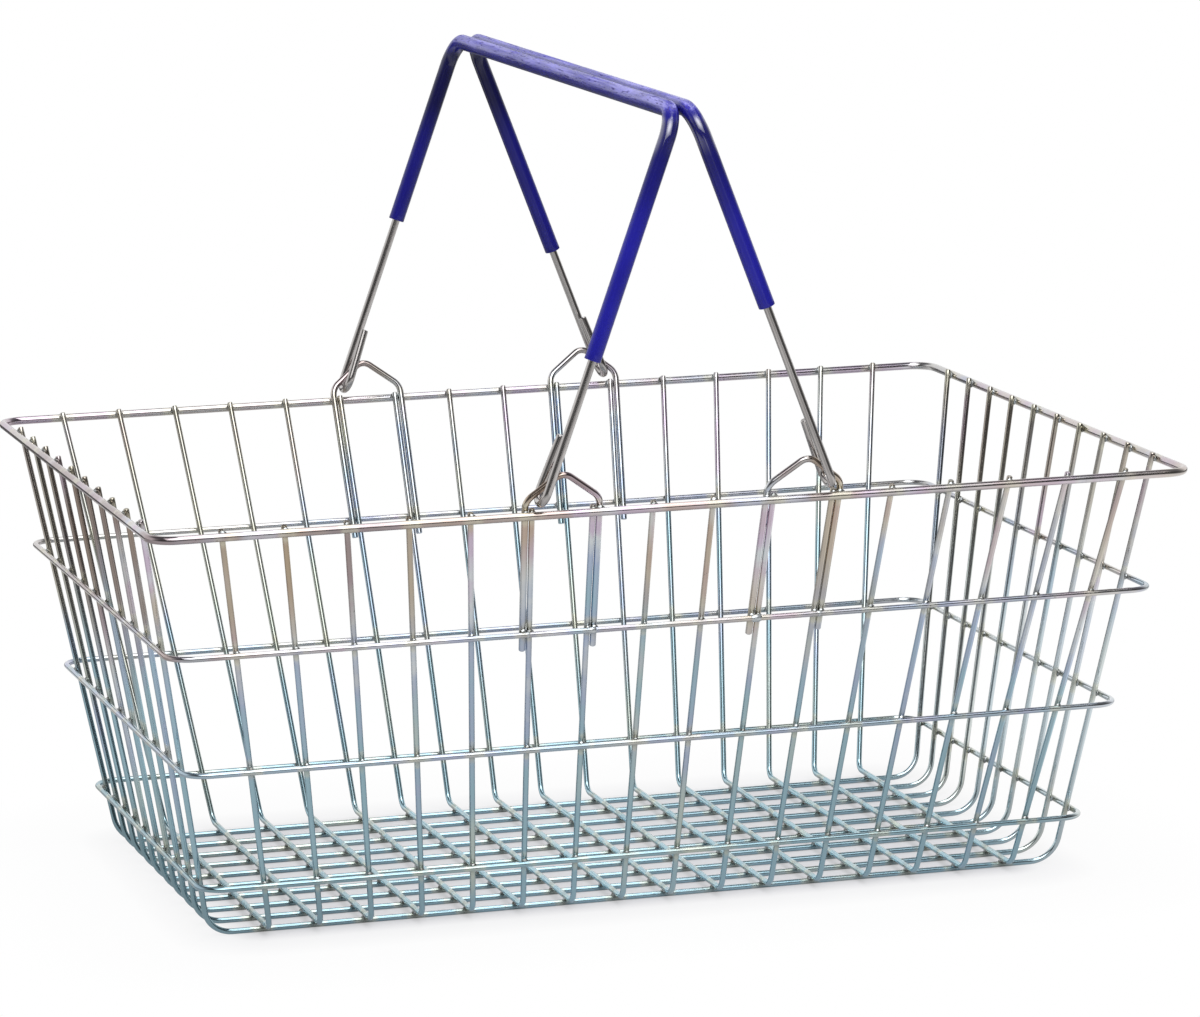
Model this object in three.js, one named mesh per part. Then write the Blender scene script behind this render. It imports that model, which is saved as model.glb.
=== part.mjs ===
// Wire shopping basket: a tub of welded U-shaped wires inside four hoops, with two sleeved handles
// that hook onto wire brackets and fold outwards.
// Millimetres. X runs along the basket, Y from front to back, Z up, and the floor wires rest on Z = 0.
import * as THREE from 'three';

// Wire thicknesses
const MESH_WIRE = 2.8;
const RIM_WIRE = 4;
const BRACKET_WIRE = 3.2;
const HANDLE_WIRE = 4;
const SLEEVE_OUTSIDE = 8;

// Gaps left where one piece is welded to, slid onto or leans against another
const WELD_GAP = 0.3;
const SLEEVE_GAP = 0.3;
const GRIP_GAP = 0.4;

// Tub: the wire axes of the sloping walls, measured at the ground and at the rim
const RIM_HEIGHT = 208;
const HOOP_SPACING = 60;
const BASE_LENGTH = 430;
const BASE_WIDTH = 226;
const TOP_LENGTH = 501;
const TOP_WIDTH = 363;
const HOOP_CORNER = 12;
const STUB = 1.2;

// Mesh: wires that cross the floor from front to back, and wires that run along it. The margins are
// the space from the outermost wire to the walls beside it, at the ground and at the rim.
const CROSS_COUNT = 16;
const CROSS_MARGIN_BASE = 27.5;
const CROSS_MARGIN_TOP = 29.25;
const CROSS_BEND = 7;
const LONG_COUNT = 10;
const LONG_MARGIN_BASE = 11.75;
const LONG_MARGIN_TOP = 37.5;
const LONG_BEND = 14;

// Handle brackets: arches in the planes of the long walls, sizes taken along the wall from the rim's axis
const BRACKET_PITCHES = 2;
const BRACKET_PEAK = 21.5;
const BRACKET_PEAK_BEND = 6;
const BRACKET_SHOULDER = 7.2;
const BRACKET_SHOULDER_BEND = 8;
const BRACKET_TAIL = 9;

// Handles: a hairpin hook at each foot holds the outer flank of an arch
const HOOK_SEAT = 0.46;
const HOOK_DROP = 8.7;
const HOOK_BEND = 6.5;
const HOOK_RETURN = 33;
const HOOK_TIP_GAP = 5;
const GRIP_HEIGHT = 394;
const HANDLE_BEND = 14;
const SLEEVE_FRONT_END = 84;
const SLEEVE_BACK_END = 62;

// Facets of the round sections and of the bends
const MESH_SIDES = 8;
const BRACKET_SIDES = 10;
const ROUND_SIDES = 12;
const BEND_STEPS = 4;
const CORNER_STEPS = 6;

const zinc = new THREE.MeshStandardMaterial({ color: 0xc6ccd6, roughness: 0.28, metalness: 1 });
const steel = new THREE.MeshStandardMaterial({ color: 0x9a989b, roughness: 0.36, metalness: 1 });
const vinyl = new THREE.MeshStandardMaterial({ color: 0x2b2083, roughness: 0.34, metalness: 0 });

const vec = (x, y, z) => new THREE.Vector3(x, y, z);

// Walls: half sizes, places and outward normals at any height
const sideSlope = (TOP_WIDTH - BASE_WIDTH) / 2 / RIM_HEIGHT;
const endSlope = (TOP_LENGTH - BASE_LENGTH) / 2 / RIM_HEIGHT;
const sideLean = Math.hypot(1, sideSlope);
const endLean = Math.hypot(1, endSlope);
const wallY = (z) => BASE_WIDTH / 2 + sideSlope * z;
const wallX = (z) => BASE_LENGTH / 2 + endSlope * z;
const sideNormal = (side) => vec(0, side, -sideSlope).normalize();
const endNormal = (end) => vec(end, 0, -endSlope).normalize();
const atHeight = (base, top, z) => THREE.MathUtils.lerp(base, top, z / RIM_HEIGHT);
const pitch = (half, margin, count) => (2 * (half - margin)) / (count - 1);
const crossPitch = (z) =>
  pitch(wallX(z), atHeight(CROSS_MARGIN_BASE, CROSS_MARGIN_TOP, z), CROSS_COUNT);
const longPitch = (z) => pitch(wallY(z), atHeight(LONG_MARGIN_BASE, LONG_MARGIN_TOP, z), LONG_COUNT);
const crossX = (place, z) => place * crossPitch(z);
const longY = (place, z) => place * longPitch(z);

const longFloor = MESH_WIRE / 2;
const crossFloor = longFloor + MESH_WIRE + WELD_GAP;
const wireTop = RIM_HEIGHT + RIM_WIRE / 2 + STUB;

// A wire's route as a list of section rings, each with a place, a direction and a side that a flat faces
class WireRoute extends THREE.Curve {
  constructor(rings, closed = false) {
    super();
    this.rings = rings;
    this.steps = closed ? rings.length : rings.length - 1;
  }

  ringAt(u) {
    return this.rings[Math.round(u * this.steps) % this.rings.length];
  }

  getPoint(t, target = new THREE.Vector3()) {
    return target.copy(this.ringAt(t).point);
  }

  getPointAt(u, target) {
    return this.getPoint(u, target);
  }

  computeFrenetFrames(steps) {
    const frames = { tangents: [], normals: [], binormals: [] };
    for (let i = 0; i <= steps; i++) {
      const { tangent, facing } = this.ringAt(i / steps);
      const normal = facing.clone().addScaledVector(tangent, -facing.dot(tangent)).normalize();
      frames.tangents.push(tangent);
      frames.normals.push(normal);
      frames.binormals.push(tangent.clone().cross(normal));
    }
    return frames;
  }
}

// Rings of the rounded bend at a corner, from the stretch that comes in to the stretch that goes out
function bendRings(before, corner, after, radius, steps, facingIn, facingOut) {
  const along = corner.clone().sub(before).normalize();
  const onward = after.clone().sub(corner).normalize();
  const turn = along.angleTo(onward);
  const start = corner.clone().addScaledVector(along, -radius * Math.tan(turn / 2));
  const inward = onward.clone().addScaledVector(along, -onward.dot(along)).normalize();
  const centre = start.clone().addScaledVector(inward, radius);
  const rings = [];
  for (let i = 0; i <= steps; i++) {
    const angle = (turn * i) / steps;
    const point = centre.clone().addScaledVector(inward, -radius * Math.cos(angle));
    point.addScaledVector(along, radius * Math.sin(angle));
    const tangent = along.clone().multiplyScalar(Math.cos(angle)).addScaledVector(inward, Math.sin(angle));
    const facing = facingIn.clone().lerp(facingOut, i / steps);
    rings.push({ point, tangent, facing });
  }
  return rings;
}

// An open route through corners, with a bend radius at each inner corner and a facing for each stretch
function openRoute(corners, radii, facings, steps) {
  const last = corners.length - 1;
  const direction = (i) => corners[i + 1].clone().sub(corners[i]).normalize();
  const rings = [{ point: corners[0], tangent: direction(0), facing: facings[0] }];
  for (let i = 1; i < last; i++) {
    const bend = bendRings(
      corners[i - 1], corners[i], corners[i + 1], radii[i - 1], steps, facings[i - 1], facings[i],
    );
    const joined = bend[0].point.distanceTo(rings[rings.length - 1].point) < 1e-6;
    rings.push(...(joined ? bend.slice(1) : bend));
  }
  rings.push({ point: corners[last], tangent: direction(last - 1), facing: facings[last - 1] });
  return new WireRoute(rings);
}

// A regular section with a flat on its facing side, sized across its flats
function sectionPoints(diameter, sides) {
  const radius = diameter / 2 / Math.cos(Math.PI / sides);
  return Array.from({ length: sides }, (unused, i) => {
    const angle = ((i + 0.5) * 2 * Math.PI) / sides;
    return new THREE.Vector2(radius * Math.cos(angle), radius * Math.sin(angle));
  });
}

// A solid wire, or a tube with a bore, along an open route
function openWire(route, diameter, sides, bore = 0) {
  const section = new THREE.Shape(sectionPoints(diameter, sides));
  if (bore > 0) {
    section.holes.push(new THREE.Path(sectionPoints(bore, sides)));
  }
  return new THREE.ExtrudeGeometry(section, { extrudePath: route, steps: route.steps, curveSegments: 1 });
}

// A closed hoop around the outside of the walls, with a flat against the wires
function hoopWire(height, diameter, sides) {
  const clear = MESH_WIRE / 2 + WELD_GAP + diameter / 2;
  const x = wallX(height) + clear * endLean;
  const y = wallY(height) + clear * sideLean;
  const corners = [vec(x, -y, height), vec(x, y, height), vec(-x, y, height), vec(-x, -y, height)];
  const facings = [endNormal(1), sideNormal(1), endNormal(-1), sideNormal(-1)];
  const rings = corners.flatMap((corner, i) => {
    const before = (i + 3) % 4;
    return bendRings(
      corners[before], corner, corners[(i + 1) % 4], HOOP_CORNER, CORNER_STEPS, facings[before], facings[i],
    );
  });
  const halfFacet = Math.PI / sides;
  for (const ring of rings) {
    ring.facing.addScaledVector(ring.tangent, -ring.facing.dot(ring.tangent));
    ring.facing.applyAxisAngle(ring.tangent, halfFacet);
  }
  const route = new WireRoute(rings, true);
  return new THREE.TubeGeometry(route, route.steps, diameter / 2 / Math.cos(halfFacet), sides, true);
}

// A wire up the front wall from its stub, across the floor and up the back wall
function crossWire(place) {
  const corner = (side, z) => vec(crossX(place, z), side * wallY(z), z);
  const corners = [corner(-1, wireTop), corner(-1, crossFloor), corner(1, crossFloor), corner(1, wireTop)];
  const facings = [sideNormal(-1), vec(0, 0, -1), sideNormal(1)];
  return openWire(openRoute(corners, [CROSS_BEND, CROSS_BEND], facings, BEND_STEPS), MESH_WIRE, MESH_SIDES);
}

// A wire up the left end, along the floor under the cross wires and up the right end
function longWire(place) {
  const corner = (end, z) => vec(end * wallX(z), longY(place, z), z);
  const corners = [corner(-1, wireTop), corner(-1, longFloor), corner(1, longFloor), corner(1, wireTop)];
  const facings = [endNormal(-1), vec(0, 0, -1), endNormal(1)];
  return openWire(openRoute(corners, [LONG_BEND, LONG_BEND], facings, BEND_STEPS + 1), MESH_WIRE, MESH_SIDES);
}

// The bracket's arch stands in its wall's plane; its legs run down beside a pair of cross wires
const bracketInset = ((BRACKET_WIRE - MESH_WIRE) / 2) * sideLean;
const legAside = (MESH_WIRE + BRACKET_WIRE) / 2 + WELD_GAP;
const bracketY = (z) => wallY(z) - bracketInset;
const alongWall = (rise) => RIM_HEIGHT + rise / sideLean;
const legX = (aside, z) => crossX(BRACKET_PITCHES + aside / 2, z) + aside * legAside;

const bracketFoot = alongWall(-HOOP_SPACING * sideLean - BRACKET_TAIL);
const bracketShoulder = alongWall(BRACKET_SHOULDER);
const bracketPeak = alongWall(BRACKET_PEAK);
const outerShoulder = vec(legX(1, bracketShoulder), bracketY(bracketShoulder), bracketShoulder);
const archPeak = vec(crossX(BRACKET_PITCHES, bracketPeak), bracketY(bracketPeak), bracketPeak);

function bracketWire(end, side) {
  const corners = [
    vec(legX(-1, bracketFoot), bracketY(bracketFoot), bracketFoot),
    vec(legX(-1, bracketShoulder), bracketY(bracketShoulder), bracketShoulder),
    archPeak,
    outerShoulder,
    vec(legX(1, bracketFoot), bracketY(bracketFoot), bracketFoot),
  ].map((point) => point.clone().multiply(vec(end, side, 1)));
  const radii = [BRACKET_SHOULDER_BEND, BRACKET_PEAK_BEND, BRACKET_SHOULDER_BEND];
  const route = openRoute(corners, radii, Array(4).fill(sideNormal(side)), BEND_STEPS);
  return openWire(route, BRACKET_WIRE, BRACKET_SIDES);
}

// The right handle is drawn upright in its own plane, with its swing axis along Y through the origin
const seat = archPeak.clone().lerp(outerShoulder, HOOK_SEAT);
const gripX = (SLEEVE_OUTSIDE + GRIP_GAP) / 2;
const lean = Math.atan2(seat.x - gripX, GRIP_HEIGHT - seat.z);
const legLength = Math.hypot(seat.x - gripX, GRIP_HEIGHT - seat.z);
const legY = seat.y + HOOK_BEND;

// Corners of one hairpin hook, from the tip of its return leg to the foot of the main leg
function hookCorners(side) {
  const tip = new THREE.Vector2(legY - HANDLE_WIRE - HOOK_TIP_GAP, HOOK_RETURN - HOOK_DROP);
  const fromCentre = tip.clone().sub(new THREE.Vector2(seat.y, HOOK_BEND - HOOK_DROP));
  const slant = Math.atan2(fromCentre.x, fromCentre.y) + Math.asin(HOOK_BEND / fromCentre.length());
  const innerFoot = seat.y - HOOK_BEND * Math.tan(Math.PI / 4 + slant / 2);
  return [
    vec(0, side * tip.x, tip.y),
    vec(0, side * innerFoot, -HOOK_DROP),
    vec(0, side * legY, -HOOK_DROP),
  ];
}

const handleTop = [vec(0, -legY, legLength), vec(0, legY, legLength)];

function handleWire() {
  const corners = [...hookCorners(-1), ...handleTop, ...hookCorners(1).reverse()];
  const radii = [HOOK_BEND, HOOK_BEND, HANDLE_BEND, HANDLE_BEND, HOOK_BEND, HOOK_BEND];
  const route = openRoute(corners, radii, Array(corners.length - 1).fill(vec(1, 0, 0)), CORNER_STEPS);
  return openWire(route, HANDLE_WIRE, ROUND_SIDES);
}

// The sleeve sits a little off centre on the wire, further down one leg than the other
function gripSleeve() {
  const corners = [vec(0, -legY, SLEEVE_FRONT_END), ...handleTop, vec(0, legY, SLEEVE_BACK_END)];
  const route = openRoute(corners, [HANDLE_BEND, HANDLE_BEND], Array(3).fill(vec(1, 0, 0)), CORNER_STEPS);
  const bore = HANDLE_WIRE / Math.cos(Math.PI / ROUND_SIDES) + 2 * SLEEVE_GAP;
  return openWire(route, SLEEVE_OUTSIDE, ROUND_SIDES, bore);
}

function solid(name, geometry, material) {
  const mesh = new THREE.Mesh(geometry, material);
  mesh.name = name;
  return mesh;
}

const basket = new THREE.Group();

['rim_wire', 'hoop_upper', 'hoop_middle', 'hoop_lower'].forEach((name, i) => {
  const diameter = i === 0 ? RIM_WIRE : MESH_WIRE;
  const sides = i === 0 ? ROUND_SIDES : MESH_SIDES;
  basket.add(solid(name, hoopWire(RIM_HEIGHT - i * HOOP_SPACING, diameter, sides), zinc));
});

const numbered = (name, i) => `${name}_${String(i + 1).padStart(2, '0')}`;
for (let i = 0; i < CROSS_COUNT; i++) {
  basket.add(solid(numbered('cross_wire', i), crossWire(i - (CROSS_COUNT - 1) / 2), zinc));
}
for (let i = 0; i < LONG_COUNT; i++) {
  basket.add(solid(numbered('long_wire', i), longWire(i - (LONG_COUNT - 1) / 2), zinc));
}

for (const [depth, side] of [['front', -1], ['back', 1]]) {
  for (const [hand, end] of [['left', -1], ['right', 1]]) {
    basket.add(solid(`handle_bracket_${depth}_${hand}`, bracketWire(end, side), zinc));
  }
}

// The left handle is the right one turned half round, so the sleeves slip opposite ways
for (const [hand, turn] of [['right', 0], ['left', Math.PI]]) {
  const handle = new THREE.Group();
  handle.position.set(seat.x, 0, seat.z);
  handle.rotation.y = -lean;
  handle.add(solid(`handle_wire_${hand}`, handleWire(), steel));
  handle.add(solid(`grip_sleeve_${hand}`, gripSleeve(), vinyl));
  const halfTurn = new THREE.Group();
  halfTurn.rotation.z = turn;
  halfTurn.add(handle);
  basket.add(halfTurn);
}

export default basket;
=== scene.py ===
"""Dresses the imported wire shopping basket: drawn round wires, welds, vinyl grips, studio and camera.

Metres throughout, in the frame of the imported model. X runs along the basket, Y from front to back, Z up.
"""

import logging
import math
from dataclasses import dataclass, field
from enum import Enum
from functools import partial, reduce
from typing import Any

import bpy
from mathutils import Matrix, Vector


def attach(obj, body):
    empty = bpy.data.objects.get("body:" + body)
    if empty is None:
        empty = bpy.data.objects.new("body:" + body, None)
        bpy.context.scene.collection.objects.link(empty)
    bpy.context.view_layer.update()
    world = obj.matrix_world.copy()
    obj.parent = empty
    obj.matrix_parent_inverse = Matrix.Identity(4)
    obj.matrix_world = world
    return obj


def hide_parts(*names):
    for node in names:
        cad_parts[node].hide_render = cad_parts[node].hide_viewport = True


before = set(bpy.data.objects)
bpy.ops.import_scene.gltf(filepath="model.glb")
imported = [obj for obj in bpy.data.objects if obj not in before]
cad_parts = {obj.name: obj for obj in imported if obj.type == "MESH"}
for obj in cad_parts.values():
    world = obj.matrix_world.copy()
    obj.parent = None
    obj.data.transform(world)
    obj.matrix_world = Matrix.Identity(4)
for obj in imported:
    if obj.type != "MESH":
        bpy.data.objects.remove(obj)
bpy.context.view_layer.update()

LOG = logging.getLogger("basket")
MM = 0.001
WHITE = (1.0, 1.0, 1.0)

Colour = tuple[float, float, float]
Span = tuple[float, float]
Steps = tuple[Span, ...]
Inputs = dict[Any, Any]
Socket = bpy.types.NodeSocket
Thing = bpy.types.Object


class Body(Enum):
    """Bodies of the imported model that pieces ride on."""

    BASKET = "basket"
    HANDLE_LEFT = "handle_left"
    HANDLE_RIGHT = "handle_right"


class Slot(Enum):
    """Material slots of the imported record."""

    ZINC = "zinc_wire"
    STEEL = "handle_steel"
    VINYL = "vinyl_sleeve"


class Side(Enum):
    """A side of the basket, by its sign along an axis."""

    @property
    def word(self) -> str:
        """The side's name as node names use it."""
        return self.name.lower()


class Hand(Side):
    """The two ends of the basket, along X."""

    LEFT = -1
    RIGHT = 1


class Depth(Side):
    """The two long walls, along Y."""

    FRONT = -1
    BACK = 1


class Mark(Enum):
    """Attributes that the swept meshes carry for their materials."""

    BEND = "bend"
    RUN = "run"
    SECTION = "section"
    WELD = "weld"
    OUTWARD = "outward"
    ALONG = "along"
    SIZE = "size"
    PRESSED = "pressed"


def stand(name: str, data: Any) -> Thing:
    """Links a new object at the origin of the scene."""
    obj = bpy.data.objects.new(name, data)
    bpy.context.scene.collection.objects.link(obj)
    return obj


class TreeBuilder:
    """Adds nodes to a node tree. Inputs are values or output sockets, by the input's name or number."""

    def __init__(self, tree: bpy.types.NodeTree) -> None:
        """Keeps the tree to add to."""
        self.tree = tree

    def fill(self, node: bpy.types.Node, inputs: Inputs) -> None:
        """Links or sets a node's inputs.

        Args:
            node: The node.
            inputs: Its inputs.
        """
        for key, value in inputs.items():
            if isinstance(value, Socket):
                self.tree.links.new(value, node.inputs[key])
            else:
                node.inputs[key].default_value = value

    def add(self, kind: str, inputs: Inputs | None = None, **settings: Any) -> bpy.types.Node:
        """Adds one node.

        Args:
            kind: The node's type name.
            inputs: Its inputs.
            settings: Properties of the node, such as its operation.

        Returns:
            The new node.
        """
        node = self.tree.nodes.new(kind)
        for name, value in settings.items():
            setattr(node, name, value)
        self.fill(node, inputs or {})
        return node

    def first(self, kind: str, inputs: Inputs | None = None, **settings: Any) -> Socket:
        """Adds one node and returns its first output."""
        return self.add(kind, inputs, **settings).outputs[0]

    def socket(self, name: str, kind: str, default: Any = None, output: bool = False) -> None:
        """Adds an input or output to the tree's interface.

        Args:
            name: The socket's name.
            kind: Its type, such as Float, Vector or Color.
            default: Its default value, where it has one.
            output: True for an output.
        """
        way = "OUTPUT" if output else "INPUT"
        made = self.tree.interface.new_socket(name, in_out=way, socket_type=f"NodeSocket{kind}")
        if default is not None:
            made.default_value = default

    def maths(self, operation: str, first: Any, second: Any = 0.0, clamp: bool = False) -> Socket:
        """Works out two values or sockets, kept from 0 to 1 if clamped."""
        return self.first("ShaderNodeMath", {0: first, 1: second}, operation=operation, use_clamp=clamp)

    def plus(self, *terms: Any) -> Socket:
        """Adds up values or sockets."""
        return reduce(partial(self.maths, "ADD"), terms)

    def minus(self, first: Any, second: Any) -> Socket:
        """Takes the second value or socket from the first."""
        return self.maths("SUBTRACT", first, second)

    def times(self, *factors: Any) -> Socket:
        """Multiplies values or sockets."""
        return reduce(partial(self.maths, "MULTIPLY"), factors)

    def vector(self, operation: str, first: Any, second: Any = (0.0, 0.0, 0.0)) -> Socket:
        """Works out two vectors to a vector."""
        return self.first("ShaderNodeVectorMath", {0: first, 1: second}, operation=operation)

    def measure(self, operation: str, first: Any, second: Any = (0.0, 0.0, 0.0)) -> Socket:
        """Works out two vectors to a number."""
        return self.add("ShaderNodeVectorMath", {0: first, 1: second}, operation=operation).outputs["Value"]

    def scaled(self, vector: Socket, scale: Socket) -> Socket:
        """Scales a vector."""
        return self.first("ShaderNodeVectorMath", {0: vector, "Scale": scale}, operation="SCALE")

    def remap(self, value: Any, low: Any, high: Any, start: float = 0.0, end: float = 1.0) -> Socket:
        """Maps a value smoothly, so that low gives start and high gives end."""
        inputs = {"Value": value, "From Min": low, "From Max": high, "To Min": start, "To Max": end}
        return self.first("ShaderNodeMapRange", inputs, interpolation_type="SMOOTHSTEP")


class ShaderBuilder(TreeBuilder):
    """Adds shader nodes to a material or a shader group."""

    @classmethod
    def cleared(cls, owner: Any) -> "ShaderBuilder":
        """Starts on the emptied node tree of a material, a lamp or the world."""
        owner.use_nodes = True
        owner.node_tree.nodes.clear()
        return cls(owner.node_tree)

    def mix(self, factor: Any, first: Any, second: Any, blend: str = "MIX") -> Socket:
        """Mixes two colours or sockets.

        Args:
            factor: The share of the second colour.
            first: A colour or socket.
            second: A colour or socket.
            blend: How the colours are put together.

        Returns:
            The mixed colour's socket.
        """
        start, end = ((*c, 1.0) if isinstance(c, tuple) else c for c in (first, second))
        inputs = {0: factor, 6: start, 7: end}
        return self.add("ShaderNodeMix", inputs, data_type="RGBA", blend_type=blend).outputs[2]

    def noise(self, vector: Socket, scale: Any, detail: float = 2.0, rough: float = 0.5) -> Socket:
        """Adds noise, with a scale in features a metre, octaves and the strength of the finer ones."""
        inputs = {"Vector": vector, "Scale": scale, "Detail": detail, "Roughness": rough}
        return self.first("ShaderNodeTexNoise", inputs)

    def ramp(self, value: Any, stops: list[tuple[float, Colour]]) -> Socket:
        """Picks a colour by a value from 0 to 1.

        Args:
            value: The socket that picks the colour.
            stops: Places from 0 to 1 and their colours, in order.

        Returns:
            The colour's socket.
        """
        node = self.add("ShaderNodeValToRGB", {0: value})
        elements = node.color_ramp.elements
        while len(elements) < len(stops):
            elements.new(1.0)
        for element, (place, colour) in zip(elements, stops):
            element.position = place
            element.color = (*colour, 1.0)
        return node.outputs[0]

    def levels(self, value: Any, steps: Steps) -> Socket:
        """Picks a grey level by a value from 0 to 1, through steps of value and level."""
        return self.ramp(value, [(place, (level, level, level)) for place, level in steps])

    def bump(self, height: Socket, depth: float, strength: float) -> Socket:
        """The normal of a bumpy surface, with the bumps' depth in metres."""
        return self.first("ShaderNodeBump", {"Height": height, "Distance": depth, "Strength": strength})

    def place(self, group: bpy.types.NodeTree, inputs: Inputs) -> Any:
        """Places a shader group with its own values and returns its outputs."""
        return self.add("ShaderNodeGroup", inputs, node_tree=group).outputs

    def split(self, vector: Socket) -> Any:
        """The three parts of a vector."""
        return self.add("ShaderNodeSeparateXYZ", {0: vector}).outputs

    def mapped(self, vector: Socket, **inputs: Colour) -> Socket:
        """Moves or stretches coordinates, by Location or Scale."""
        return self.first("ShaderNodeMapping", {"Vector": vector, **inputs})

    def mark(self, mark: Mark, output: str = "Fac") -> Socket:
        """Reads one of the meshes' marks."""
        return self.add("ShaderNodeAttribute", attribute_name=mark.value).outputs[output]

    def object_place(self) -> Socket:
        """The surface's place in the row frame."""
        return self.add("ShaderNodeTexCoord").outputs["Object"]


class Effects:
    """Shader groups that more than one finish uses."""

    def __init__(self) -> None:
        """Builds each group once."""
        self.drawn_lines = self._drawn_lines()
        self.speckle = self._speckle()
        self.scuffs = self._scuffs()

    @staticmethod
    def _start(name: str, inputs: dict[str, float], *outputs: str) -> tuple[ShaderBuilder, Any]:
        """Starts a shader group.

        Args:
            name: Its name.
            inputs: Its inputs and their defaults.
            outputs: Its outputs.

        Returns:
            Its builder and the sockets that it is given.
        """
        build = ShaderBuilder(bpy.data.node_groups.new(name, "ShaderNodeTree"))
        for socket, default in inputs.items():
            build.socket(socket, "Float", default)
        for socket in outputs:
            build.socket(socket, "Float", output=True)
        return build, build.add("NodeGroupInput").outputs

    def _drawn_lines(self) -> bpy.types.NodeTree:
        """Fine lines along a wire, left by the drawing die.

        Returns:
            A group with the inputs Fineness and Length, and the output Lines, from 0 to 1.
        """
        build, given = self._start("drawn_lines", {"Fineness": 1500.0, "Length": 14.0}, "Lines")
        section = build.split(build.mark(Mark.SECTION, "Vector"))
        across, up = (build.times(section[axis], given["Fineness"]) for axis in (0, 1))
        down = build.times(build.mark(Mark.RUN), given["Length"])
        vector = build.first("ShaderNodeCombineXYZ", {0: across, 1: up, 2: down})
        build.add("NodeGroupOutput", {"Lines": build.remap(build.noise(vector, 1.0, 3.0, 0.6), 0.3, 0.7)})
        return build.tree

    def _speckle(self) -> bpy.types.NodeTree:
        """Small spots in uneven patches, such as tarnish or pits.

        Returns:
            A group with the inputs Spot Scale, Patch Scale and Amount, and the output Mask.
        """
        inputs = {"Spot Scale": 500.0, "Patch Scale": 25.0, "Amount": 0.5}
        build, given = self._start("speckle", inputs, "Mask")
        place = build.object_place()
        spots = build.noise(place, given["Spot Scale"], 3.0)
        patches = build.noise(place, given["Patch Scale"])
        patchy = build.times(build.remap(patches, 0.35, 0.7), given["Amount"])
        level = build.minus(0.78, build.times(patchy, 0.3))
        above = build.maths("MULTIPLY", build.minus(spots, level), 12.0, clamp=True)
        build.add("NodeGroupOutput", {"Mask": above})
        return build.tree

    def _scuffs(self) -> bpy.types.NodeTree:
        """Rubbed marks on the upper side of a piece, between two heights.

        Returns:
            A group with the inputs Low, High and Amount, and the outputs Haze and Nicks.
        """
        build, given = self._start("scuffs", {"Low": 0.38, "High": 0.4, "Amount": 1.0}, "Haze", "Nicks")
        place = build.object_place()
        top = build.remap(build.split(place)[2], given["Low"], given["High"])
        top = build.times(top, given["Amount"])
        stretched = build.mapped(place, Scale=(1.0, 0.12, 1.0))
        rubbed = build.remap(build.noise(stretched, 320.0, 4.0, 0.6), 0.36, 0.64, 0.45, 1.0)
        nicks = build.remap(build.noise(stretched, 900.0), 0.6, 0.68)
        build.add("NodeGroupOutput", {"Haze": build.times(top, rubbed), "Nicks": build.times(top, nicks)})
        return build.tree


class Finish:
    """A procedural material."""

    name: str
    slot: Slot

    def make(self, effects: Effects) -> bpy.types.Material:
        """Makes the material.

        Args:
            effects: The shared shader groups.

        Returns:
            The material, with its nodes in place.
        """
        material = bpy.data.materials.new(self.name)
        build = ShaderBuilder.cleared(material)
        shader = build.add("ShaderNodeBsdfPrincipled")
        build.add("ShaderNodeOutputMaterial", {"Surface": shader.outputs[0]})
        self.colour(build, shader, effects)
        return material

    def colour(self, build: ShaderBuilder, shader: bpy.types.Node, effects: Effects) -> None:
        """Links the finish's patterns to the shader. Each finish has its own."""
        raise NotImplementedError


class By(Enum):
    """Measures of a place on the basket that plating colours follow."""

    LENGTH = 0
    DEPTH = 1
    HEIGHT = 2
    WARMTH = 3
    UPPER_LEFT = 4
    PATCHES = 5


@dataclass(frozen=True)
class Fade:
    """How strongly a colour lies by one measure: from start at low to end at high."""

    by: By
    low: float
    high: float
    start: float = 0.0
    end: float = 1.0


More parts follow.
